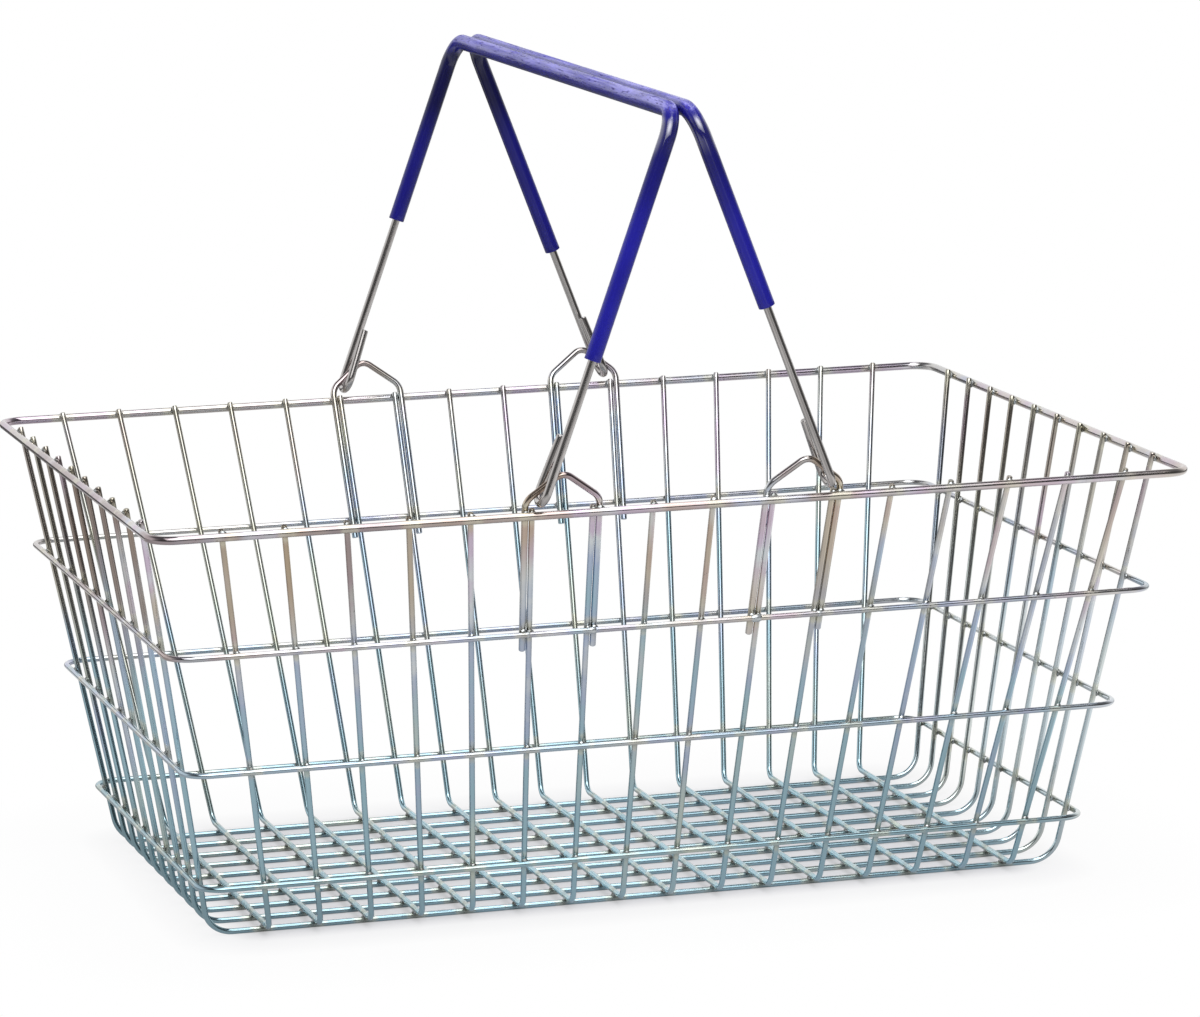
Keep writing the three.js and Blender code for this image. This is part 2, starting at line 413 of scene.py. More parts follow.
@dataclass(frozen=True)
class ZincPassivate(Finish):
    """Bright zinc plating whose passivation colours follow the place on the basket.

    They turn from teal at the floor to blue, pale grey and mauve at the rim. The tops in front are bronze,
    those at the upper left are brown, and the back wall is straw gold at the left. Painted shade darkens the
    floor wires at the left and the back wall right of the middle towards dark teal, painted light pales the
    lower right end, the right end turns browner towards its top, and a shade factor below 1 makes a darker
    copy of the finish as painted shade.
    """

    name: str = "zinc_passivate"
    slot: Slot = Slot.ZINC
    # Multiplies every colour; below 1 it makes a darker copy of the finish as painted shade.
    shade: float = 1.0
    burn: float = 0.65
    blush: float = 0.0
    end_brown: float = 0.5
    climb: float = 4.0
    left_pull: float = 2.2
    cool: float = 0.06
    golden_back: tuple[Fade, ...] = (
        Fade(By.DEPTH, -0.12, 0.13, 0.0, 0.26),
        Fade(By.LENGTH, -0.16, 0.0, 1.0, 0.25),
        Fade(By.HEIGHT, 0.04, 0.14, 0.3, 1.0),
    )
    golden_end: Fade = Fade(By.LENGTH, 0.19, 0.23, 0.0, 0.14)
    right_end: Fade = Fade(By.LENGTH, 0.19, 0.232)
    spotted: Fade = Fade(By.HEIGHT, 0.06, 0.21, 0.1, 0.8)
    teal: Colour = (0.40, 0.59, 0.67)
    blue: Colour = (0.48, 0.56, 0.72)
    pale: Colour = (0.74, 0.78, 0.80)
    mauve: Colour = (0.68, 0.57, 0.70)
    straw: Colour = (0.78, 0.77, 0.61)
    brown: Colour = (0.30, 0.23, 0.19)
    bronze: Colour = (0.54, 0.42, 0.27)
    # Dark teal of painted shade.
    dim: Colour = (0.16, 0.24, 0.26)
    heat: Colour = (0.22, 0.21, 0.17)
    tarnish: Colour = (0.15, 0.125, 0.11)

    def coats(self) -> list[tuple[Colour, list[Fade]]]:
        """The colours over the passivation, from the lowest, each with the fades that say where it lies."""
        front_tops = [Fade(By.DEPTH, -0.14, -0.10, 1.0, 0.0), Fade(By.HEIGHT, 0.11, 0.19)]
        return [
            (self.straw, [Fade(By.WARMTH, 0.5, 0.7, 0.0, 0.65)]),
            (self.brown, [
                Fade(By.WARMTH, 0.32, 0.52), Fade(By.UPPER_LEFT, 0.85, 1.2, 0.0, 0.9),
                Fade(By.DEPTH, 0.04, 0.12, 1.0, 0.4),
            ]),
            (self.bronze, [
                Fade(By.PATCHES, 0.42, 0.54, 0.0, 0.75), *front_tops, Fade(By.LENGTH, 0.04, 0.20, 1.0, 0.4),
            ]),
            # Painted shade: the back wall, right of the middle, a little darker towards teal.
            (self.dim, [Fade(By.DEPTH, 0.06, 0.12, 0.0, 0.12), Fade(By.LENGTH, -0.14, 0.0)]),
            (self.mauve, [Fade(By.HEIGHT, 0.03, 0.07, 0.0, self.blush)]),
            (self.brown, [Fade(By.HEIGHT, 0.212, 0.222, 0.0, 0.6)]),
            # Painted light: the lower right end is paled. The next coat makes the right end browner towards
            # its top.
            (self.pale, [self.right_end, Fade(By.HEIGHT, 0.09, 0.15, 0.75, 0.0)]),
            (self.brown, [self.right_end, Fade(By.HEIGHT, 0.12, 0.20, 0.0, self.end_brown)]),
            # Painted shade: the floor wires darker towards the left.
            (self.dim, [Fade(By.LENGTH, -0.20, -0.03, 0.45, 0.0), Fade(By.HEIGHT, 0.015, 0.05, 1.0, 0.0)]),
        ]

    def passivation(self, build: ShaderBuilder, place: Socket, fine: Socket) -> Socket:
        """The plating's colour by its place.

        Args:
            build: The material's builder.
            place: The place on the basket.
            fine: A fine noise that breaks up the colours' edges.

        Returns:
            The colour's socket.
        """
        measures = dict(zip(By, build.split(place)))

        def share(*fades: Fade) -> Socket:
            """How strongly a colour lies where all of its fades let it."""
            return build.times(*[build.remap(measures[f.by], f.low, f.high, f.start, f.end) for f in fades])

        upright = build.mapped(place, Scale=(1.0, 1.0, 0.3))
        drift = build.remap(build.noise(upright, 34.0), 0.25, 0.75, -0.3, 0.3)
        climb = build.times(measures[By.HEIGHT], self.climb)
        level = build.plus(climb, drift, build.remap(fine, 0.3, 0.7, -0.06, 0.06))
        tint = build.ramp(level, [(0.3, self.teal), (0.54, self.blue), (0.74, self.pale), (0.9, self.mauve)])

        warmth = build.noise(build.mapped(upright, Location=(3.1, 1.7, 0.4)), 27.0)
        back = build.minus(share(*self.golden_back), self.cool)
        measures[By.WARMTH] = build.plus(warmth, back, share(self.golden_end))
        measures[By.UPPER_LEFT] = build.minus(climb, build.times(measures[By.LENGTH], self.left_pull))
        measures[By.PATCHES] = build.noise(build.mapped(upright, Location=(1.3, 4.2, 2.6)), 30.0)
        for colour, fades in self.coats():
            tint = build.mix(share(*fades), tint, colour)
        # The shade factor darkens all colours, as painted shade where it is below 1.
        return build.mix(1.0, tint, (self.shade, self.shade, self.shade), "MULTIPLY")

    def colour(self, build: ShaderBuilder, shader: bpy.types.Node, effects: Effects) -> None:
        """Links passivation colours, die lines, weld heat and tarnish."""
        place = build.object_place()
        fine = build.noise(place, 95.0, 3.0, 0.6)
        tint = self.passivation(build, place, fine)

        lines = build.place(effects.drawn_lines, {"Fineness": 1500.0, "Length": 10.0})["Lines"]
        tint = build.mix(0.08, tint, build.levels(lines, ((0.0, 0.45), (1.0, 1.0))), "MULTIPLY")

        weld = build.mark(Mark.WELD)
        halo = build.times(build.remap(weld, 0.0, 0.4), build.remap(fine, 0.35, 0.6, 0.0, 0.5))
        tint = build.mix(halo, tint, self.straw)
        ragged = build.times(build.maths("POWER", weld, 2.0), build.remap(fine, 0.25, 0.6, 0.35, 1.0))
        tint = build.mix(build.times(ragged, self.burn), tint, self.heat)

        inputs = {"Spot Scale": 520.0, "Patch Scale": 18.0, "Amount": 0.4}
        spots = build.place(effects.speckle, inputs)["Mask"]
        fade = self.spotted
        high = build.remap(build.split(place)[fade.by.value], fade.low, fade.high, fade.start, fade.end)
        tint = build.mix(build.times(spots, high), tint, self.tarnish)

        rough = build.plus(build.remap(fine, 0.3, 0.7, 0.10, 0.16), build.times(ragged, 0.2))
        height = build.minus(build.times(lines, 0.2), build.times(spots, 0.6))
        normal = build.bump(height, 0.02 * MM, 0.25)
        build.fill(shader, {"Base Color": tint, "Metallic": 1.0, "Roughness": rough, "Normal": normal})


@dataclass(frozen=True)
class WeldZinc(Finish):
    """Plated weld metal: rougher than the wire, burnt dark in places and pale where it was pressed flat."""

    name: str = "weld_zinc"
    slot: Slot = Slot.ZINC
    pale: Colour = (0.64, 0.68, 0.70)
    burnt: Colour = (0.13, 0.12, 0.09)

    def colour(self, build: ShaderBuilder, shader: bpy.types.Node, effects: Effects) -> None:
        """Links the splashed, mottled plating."""
        place = build.object_place()
        mottled = build.noise(place, 700.0, 3.0, 0.6)
        dark = build.times(
            build.remap(mottled, 0.35, 0.6),
            build.remap(build.noise(place, 60.0), 0.35, 0.65, 0.5, 1.0),
            build.remap(build.mark(Mark.PRESSED), 0.0, 1.0, 1.0, 0.15),
        )
        tint = build.mix(dark, self.pale, self.burnt)
        rough = build.remap(mottled, 0.3, 0.7, 0.25, 0.45)
        normal = build.bump(mottled, 0.3 * MM, 0.6)
        build.fill(shader, {"Base Color": tint, "Metallic": 1.0, "Roughness": rough, "Normal": normal})


@dataclass(frozen=True)
class HandleSteel(Finish):
    """Plain drawn steel of the handle wires, dull and warm grey with dark streaks."""

    name: str = "handle_steel"
    slot: Slot = Slot.STEEL
    grey: Colour = (0.60, 0.575, 0.56)
    dark: Colour = (0.19, 0.175, 0.17)
    stain: Colour = (0.20, 0.15, 0.11)

    def colour(self, build: ShaderBuilder, shader: bpy.types.Node, effects: Effects) -> None:
        """Links die lines, streaks and stains."""
        lines = build.place(effects.drawn_lines, {"Fineness": 1100.0, "Length": 18.0})["Lines"]
        streaks = build.place(effects.drawn_lines, {"Fineness": 420.0, "Length": 24.0})["Lines"]
        inputs = {"Spot Scale": 380.0, "Patch Scale": 30.0, "Amount": 0.4}
        spots = build.place(effects.speckle, inputs)["Mask"]
        tint = build.mix(build.times(streaks, 0.45), self.grey, self.dark)
        tint = build.mix(build.times(lines, 0.1), tint, self.dark)
        tint = build.mix(build.times(spots, 0.5), tint, self.stain)
        rough = build.remap(lines, 0.0, 1.0, 0.14, 0.22)
        normal = build.bump(build.minus(lines, spots), 0.02 * MM, 0.3)
        build.fill(shader, {"Base Color": tint, "Metallic": 1.0, "Roughness": rough, "Normal": normal})


@dataclass(frozen=True)
class GripVinyl(Finish):
    """Glossy deep blue vinyl tube, rubbed hazy and nicked along the bar, and polished where it bends.

    Painted shade darkens the upper legs, the back legs and the facing flanks of the two bars, and painted
    highlight streaks lighten the rubbed top of the bar, more towards the front.
    Spans are where a change fades in: heights, places from front to back, or the distance from the middle.
    """

    name: str = "grip_vinyl"
    slot: Slot = Slot.VINYL
    # Heights where painted shade darkens the legs towards navy, and where it eases off below the bar.
    leg_shade: Span = (0.33, 0.376)
    bar_shade: Span = (0.386, 0.392)
    worn_top: Span = (0.3915, 0.3965)
    # Distances from the middle over which the painted shade between the two bars fades out.
    bar_edge: Span = (0.8 * MM, 2.8 * MM)
    polish_low: Span = (0.372, 0.381)
    polish_high: Span = (0.3895, 0.3925)
    depth: Span = (-0.10, 0.10)
    # Front to back, the painted highlight streaks fade from full to three quarters.
    streak_depth: Span = (-0.16, 0.10)
    violet: Colour = (0.019, 0.018, 0.33)
    deep: Colour = (0.015, 0.014, 0.26)
    # The dark colour of the painted shade.
    navy: Colour = (0.008, 0.008, 0.045)
    hazed: Colour = (0.07, 0.06, 0.52)
    # The light lavender of the painted highlight streaks.
    bright: Colour = (0.36, 0.345, 0.86)
    nick: Colour = (0.06, 0.045, 0.2)

    def colour(self, build: ShaderBuilder, shader: bpy.types.Node, effects: Effects) -> None:
        """Links the colour's drift, the painted shade, the rubbed bar with its painted highlight streaks, the
        polished bends and the soft ripple of the tube.
        """
        place = build.object_place()
        x, y, z = build.split(place)
        tint = build.mix(build.remap(build.noise(place, 40.0), 0.3, 0.7), self.violet, self.deep)
        # Painted shade: the colour darkens towards navy high on the legs and on the back legs, less so on the
        # bar.
        shaded = build.plus(build.remap(z, *self.leg_shade, 0.0, 0.65), build.remap(y, *self.depth, 0.0, 0.4))
        shaded = build.maths("MINIMUM", shaded, build.remap(z, *self.bar_shade, 0.9, 0.2))
        tint = build.mix(shaded, tint, self.navy)

        low, high = self.worn_top
        worn = build.place(effects.scuffs, {"Low": low, "High": high, "Amount": 1.0})
        nicks = worn["Nicks"]
        # Painted shade: the haze is kept off the inner flanks where the two bars face each other, so a dark
        # line shows between them.
        haze = build.times(worn["Haze"], build.remap(build.maths("ABSOLUTE", x), *self.bar_edge, 0.1, 1.0))
        # The haze is rubbed wear; its lighter streaks along the bar, stronger towards the front, are painted
        # highlight.
        streaks = build.noise(build.mapped(place, Scale=(1.0, 0.03, 1.0)), 420.0, 3.0, 0.6)
        streaks = build.times(build.remap(streaks, 0.42, 0.6), build.remap(y, *self.streak_depth, 1.0, 0.75))
        tint = build.mix(build.times(haze, 0.95), tint, build.mix(streaks, self.hazed, self.bright))
        tint = build.mix(build.times(nicks, 0.8), tint, self.nick)

        grain = build.noise(place, 850.0)
        ripple = build.noise(place, 130.0)
        smooth = build.remap(grain, 0.3, 0.7, 0.13, 0.18)
        rough = build.plus(smooth, build.times(haze, 0.26), build.times(nicks, 0.4))
        height = build.minus(build.plus(build.times(grain, 0.05), build.times(ripple, 0.2), haze), nicks)
        polish = build.maths(
            "MINIMUM", build.remap(z, *self.polish_low), build.remap(z, *self.polish_high, 1.0, 0.0)
        )
        polish = build.times(polish, build.remap(y, *self.depth, 1.0, 0.2))
        normal = build.bump(height, 0.12 * MM, 0.6)
        build.fill(shader, {"Base Color": tint, "Roughness": rough, "Normal": normal, "IOR": 1.36})
        build.fill(shader, {"Coat Weight": polish, "Coat Roughness": 0.07, "Coat IOR": 2.0})


@dataclass
class Route:
    """The axis of one wire: corners and the bend radius at each."""

    node: str
    corners: list[Vector]
    bends: list[float]
    closed: bool = False

    def with_lips(self, lip: float) -> "Route":
        """The same route with a point just short of each cut end, for the end's rounded edge.

        Args:
            lip: How far from the end the point is.

        Returns:
            The longer list of corners, or the route itself if it is closed.
        """
        if self.closed:
            return self
        first, second = self.corners[:2]
        before, last = self.corners[-2:]
        start = first + (second - first).normalized() * lip
        stop = last + (before - last).normalized() * lip
        corners = [first, start, *self.corners[1:-1], stop, last]
        return Route(self.node, corners, [0.0, 0.0, *self.bends[1:-1], 0.0, 0.0])

    def mesh(self) -> bpy.types.Mesh:
        """The route as a mesh of edges that carries the bend radii."""
        mesh = bpy.data.meshes.new(self.node)
        count = len(self.corners)
        edges = [(i, (i + 1) % count) for i in range(count if self.closed else count - 1)]
        mesh.from_pydata([tuple(c) for c in self.corners], edges, [])
        mesh.attributes.new(Mark.BEND.value, "FLOAT", "POINT").data.foreach_set("value", self.bends)
        return mesh


class GeometryTree(TreeBuilder):
    """A geometry node tree with named inputs that are set on a modifier."""

    def __init__(self, name: str, *inputs: tuple[str, str, Any]) -> None:
        """Makes the tree with a geometry input and output, and inputs of a name, a type and a default."""
        super().__init__(bpy.data.node_groups.new(name, "GeometryNodeTree"))
        self.socket("Geometry", "Geometry")
        self.socket("Geometry", "Geometry", output=True)
        for given in inputs:
            self.socket(*given)
        self.given = self.add("NodeGroupInput").outputs

    def named(self, mark: Mark, kind: str) -> Socket:
        """Reads a named attribute of a data type."""
        return self.first("GeometryNodeInputNamedAttribute", {"Name": mark.value}, data_type=kind)

    def store(self, geometry: Any, mark: Mark, kind: str, value: Any) -> Socket:
        """Stores a named attribute on points and returns the geometry."""
        inputs = {"Geometry": geometry, "Name": mark.value, "Value": value}
        return self.first("GeometryNodeStoreNamedAttribute", inputs, data_type=kind, domain="POINT")

    def close(self, geometry: Socket) -> None:
        """Ends the tree smooth, in Realize Instances and Set Material."""
        smooth = self.first("GeometryNodeSetShadeSmooth", {"Geometry": geometry})
        whole = self.first("GeometryNodeRealizeInstances", {0: smooth})
        inputs = {"Geometry": whole, "Material": self.given["Material"]}
        self.add("NodeGroupOutput", {"Geometry": self.first("GeometryNodeSetMaterial", inputs)})

    def apply(self, obj: Thing, values: dict[str, Any]) -> None:
        """Puts the tree on an object as its first modifier.

        Args:
            obj: The object.
            values: The inputs' values by name.
        """
        modifier = obj.modifiers.new(self.tree.name, "NODES")
        modifier.node_group = self.tree
        for item in self.tree.interface.items_tree:
            if item.item_type == "SOCKET" and item.in_out == "INPUT" and item.name in values:
                modifier[item.identifier] = values[item.name]


class WireSweep(GeometryTree):
    """Draws a round wire along a route, with its bends and rounded ends, and marks where welds heated it."""

    WELD_CORE = 1.5 * MM

    def __init__(self) -> None:
        """Builds the tree."""
        super().__init__(
            "drawn_wire",
            ("Radius", "Float", 1.4 * MM), ("Sides", "Int", 16), ("Spacing", "Float", 2.5 * MM),
            ("Bend Steps", "Int", 10), ("End Scale", "Float", 0.8), ("Capped", "Bool", True),
            ("Weld Reach", "Float", 5 * MM), ("Weld Points", "Object", None), ("Material", "Material", None),
        )
        given = self.given
        line = self.first("GeometryNodeMeshToCurve", {"Mesh": given["Geometry"]})
        inputs = {"Curve": line, "Count": given["Bend Steps"], "Radius": self.named(Mark.BEND, "FLOAT")}
        bent = self.first("GeometryNodeFilletCurve", inputs, mode="POLY")
        run = self.add("GeometryNodeSplineParameter").outputs["Length"]
        axis = self.store(self._parted(bent), Mark.RUN, "FLOAT", run)

        inputs = {"Resolution": given["Sides"], "Radius": given["Radius"]}
        circle = self.first("GeometryNodeCurvePrimitiveCircle", inputs)
        place = self.first("GeometryNodeInputPosition")
        section = self.store(circle, Mark.SECTION, "FLOAT_VECTOR", place)
        ends = self.first("GeometryNodeCurveEndpointSelection")
        inputs = {"Switch": ends, "False": 1.0, "True": given["End Scale"]}
        width = self.first("GeometryNodeSwitch", inputs, input_type="FLOAT")
        inputs = {"Curve": axis, "Profile Curve": section, "Scale": width, "Fill Caps": given["Capped"]}
        tube = self.first("GeometryNodeCurveToMesh", inputs)

        points = self.add("GeometryNodeObjectInfo", {"Object": given["Weld Points"]}).outputs["Geometry"]
        near = self.add("GeometryNodeProximity", {"Target": points}, target_element="POINTS")
        away = near.outputs["Distance"]
        inputs = {"Value": away, "From Min": given["Weld Reach"], "From Max": self.WELD_CORE}
        self.close(self.store(tube, Mark.WELD, "FLOAT", self.first("ShaderNodeMapRange", inputs)))

    def _parted(self, curve: Socket) -> Socket:
        """Parts the stretches of a curve that are longer than the spacing, so that marks along them show."""
        onward = self.add("GeometryNodeOffsetPointInCurve", {"Offset": 1}).outputs["Point Index"]
        here = self.first("GeometryNodeInputPosition")
        inputs = {"Index": onward, "Value": here}
        there = self.first("GeometryNodeFieldAtIndex", inputs, data_type="FLOAT_VECTOR", domain="POINT")
        span = self.measure("DISTANCE", here, there)
        cuts = self.maths("FLOOR", self.maths("DIVIDE", span, self.given["Spacing"]))
        return self.first("GeometryNodeSubdivideCurve", {"Curve": curve, "Cuts": cuts})


class WeldSpots(GeometryTree):
    """Sets a lumpy nugget of weld metal at each weld point."""

    LUMP_SCALE = 900.0

    def __init__(self) -> None:
        """Builds the tree."""
        super().__init__(
            "weld_spots",
            ("Segments", "Int", 10), ("Rings", "Int", 6), ("Spread", "Float", 0.18),
            ("Lumps", "Float", 0.12 * MM), ("Seed", "Int", 4), ("Material", "Material", None),
        )
        given = self.given
        inputs = {"Segments": given["Segments"], "Rings": given["Rings"], "Radius": 1.0}
        ball = self.first("GeometryNodeMeshUVSphere", inputs)
        inputs = {0: self.named(Mark.OUTWARD, "FLOAT_VECTOR"), 1: self.named(Mark.ALONG, "FLOAT_VECTOR")}
        turn = self.first("FunctionNodeAxesToRotation", inputs, primary_axis="Z", secondary_axis="X")
        low, high = self.minus(1.0, given["Spread"]), self.plus(1.0, given["Spread"])
        inputs = {2: low, 3: high, "Seed": given["Seed"]}
        chance = self.add("FunctionNodeRandomValue", inputs, data_type="FLOAT").outputs[1]
        size = self.scaled(self.named(Mark.SIZE, "FLOAT_VECTOR"), chance)
        inputs = {"Points": given["Geometry"], "Instance": ball, "Rotation": turn, "Scale": size}
        placed = self.first("GeometryNodeInstanceOnPoints", inputs)
        whole = self.first("GeometryNodeRealizeInstances", {0: placed})
        lumpy = self.first("ShaderNodeTexNoise", {"Scale": self.LUMP_SCALE, "Detail": 1.0})
        swell = self.times(self.minus(lumpy, 0.5), given["Lumps"])
        offset = self.scaled(self.first("GeometryNodeInputNormal"), swell)
        self.close(self.first("GeometryNodeSetPosition", {"Geometry": whole, "Offset": offset}))


@dataclass
class WeldPoint:
    """Where two wires are welded, the way from the inner to the outer wire, and the nugget's half sizes."""

    place: Vector
    outward: Vector
    along: Vector
    size: Vector
    pressed: float = 0.0


class Workshop:
    """Makes finished pieces from routes and weld points."""

    CREASE = math.radians(40)
    END_LIP = 0.35 * MM
    END_SCALE = 0.8
    WIRE = {"Sides": 16, "Spacing": 2.5 * MM, "Weld Reach": 7 * MM}
    TUBE = {"Sides": 28, "Spacing": 3 * MM, "Weld Reach": 4.5 * MM, "Bend Steps": 18}
    RIM_ROUNDING = 0.3 * MM
    RIM_STEPS = 2
    RIM_ANGLE = math.radians(60)
    NUGGET_SEED = 4

    def __init__(self, welds: list[WeldPoint]) -> None:
        """Builds the trees and marks the weld points.

        Args:
            welds: All the weld points of the basket.
        """
        self.effects = Effects()
        self.materials: dict[str, bpy.types.Material] = {}
        self.sweep = WireSweep()
        self.spots = WeldSpots()
        self.weld_points = self._weld_points(welds)

    def _material(self, finish: Finish) -> bpy.types.Material:
        """The material of a finish, made when it is first asked for."""
        if finish.name not in self.materials:
            self.materials[finish.name] = finish.make(self.effects)
        return self.materials[finish.name]

    def _weld_points(self, welds: list[WeldPoint]) -> Thing:
        """An object with a vertex at each weld, which carries how its nugget lies."""
        mesh = bpy.data.meshes.new("weld_points")
        mesh.from_pydata([tuple(w.place) for w in welds], [], [])
        for mark in (Mark.OUTWARD, Mark.ALONG, Mark.SIZE):
            values = [number for w in welds for number in getattr(w, mark.value)]
            mesh.attributes.new(mark.value, "FLOAT_VECTOR", "POINT").data.foreach_set("vector", values)
        pressed = mesh.attributes.new(Mark.PRESSED.value, "FLOAT", "POINT")
        pressed.data.foreach_set("value", [w.pressed for w in welds])
        return stand("weld_nuggets", mesh)

    def _swept(self, name: str, route: Route, finish: Finish, values: dict[str, Any]) -> Thing:
        """Sweeps a round section along a route, as a modifier on a new object.

        Args:
            name: The object's name.
            route: The axis.
            finish: Its finish.
            values: The sweep's sizes by name.

        Returns:
            The object.
        """
        obj = stand(name, route.mesh())
        shared = {"Weld Points": self.weld_points, "Material": self._material(finish)}
        self.sweep.apply(obj, {**values, **shared})
        return obj

    def wire(self, route: Route, radius: float, finish: Finish, body: Body, bend_steps: int = 10) -> Thing:
        """Draws one wire and puts it in the place of its CAD node.

        Args:
            route: The wire's axis.
            radius: The wire's radius.
            finish: Its finish.
            body: The body that it rides on.
            bend_steps: Points added in each bend.

        Returns:
            The finished piece.
        """
        ends = {"Capped": not route.closed, "End Scale": 1.0 if route.closed else self.END_SCALE}
        values = {**self.WIRE, **ends, "Radius": radius, "Bend Steps": bend_steps}
        obj = self._swept(f"{route.node}_drawn", route.with_lips(self.END_LIP), finish, values)
        return self._finished(obj, body, route.node)

    def sleeve(self, route: Route, radius: float, wall: float, finish: Finish, body: Body) -> Thing:
        """Makes one open tube with rounded rims.

        Args:
            route: The tube's axis.
            radius: Its outside radius.
            wall: The thickness of its wall.
            finish: Its finish.
            body: The body that it rides on.

        Returns:
            The finished piece.
        """
        values = {**self.TUBE, "Radius": radius, "Capped": False, "End Scale": 1.0}
        obj = self._swept(f"{route.node}_tube", route, finish, values)
        shell = obj.modifiers.new("wall", "SOLIDIFY")
        shell.thickness = wall
        shell.offset = -1.0
        rims = obj.modifiers.new("rims", "BEVEL")
        rims.width = self.RIM_ROUNDING
        rims.segments = self.RIM_STEPS
        rims.limit_method = "ANGLE"
        rims.angle_limit = self.RIM_ANGLE
        return self._finished(obj, body, route.node)

    def nuggets(self, body: Body) -> Thing:
        """Turns the weld points into nuggets that ride on a body, once all the wires are drawn."""
        finish = WeldZinc()
        self.spots.apply(self.weld_points, {"Material": self._material(finish), "Seed": self.NUGGET_SEED})
        return self._finished(self.weld_points, body)

    def _finished(self, obj: Thing, body: Body, node: str | None = None) -> Thing:
        """Turns an object's modifiers into a plain mesh, ties it to its body and hides the CAD node it stands
        for.

        Args:
            obj: The object.
            body: The body that it rides on.
            node: The CAD node that it stands for, if any.

        Returns:
            The finished piece.
        """
        graph = bpy.context.evaluated_depsgraph_get()
        mesh = bpy.data.meshes.new_from_object(
            obj.evaluated_get(graph), preserve_all_data_layers=True, depsgraph=graph
        )
        obj.modifiers.clear()
        obj.data = mesh
        mesh.name = obj.name
        mesh.set_sharp_from_angle(angle=self.CREASE)
        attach(obj, body.value)
        if node is not None:
            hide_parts(node)
        LOG.info("%s: %d faces, rides on %s", obj.name, len(obj.data.polygons), body.value)
        return obj


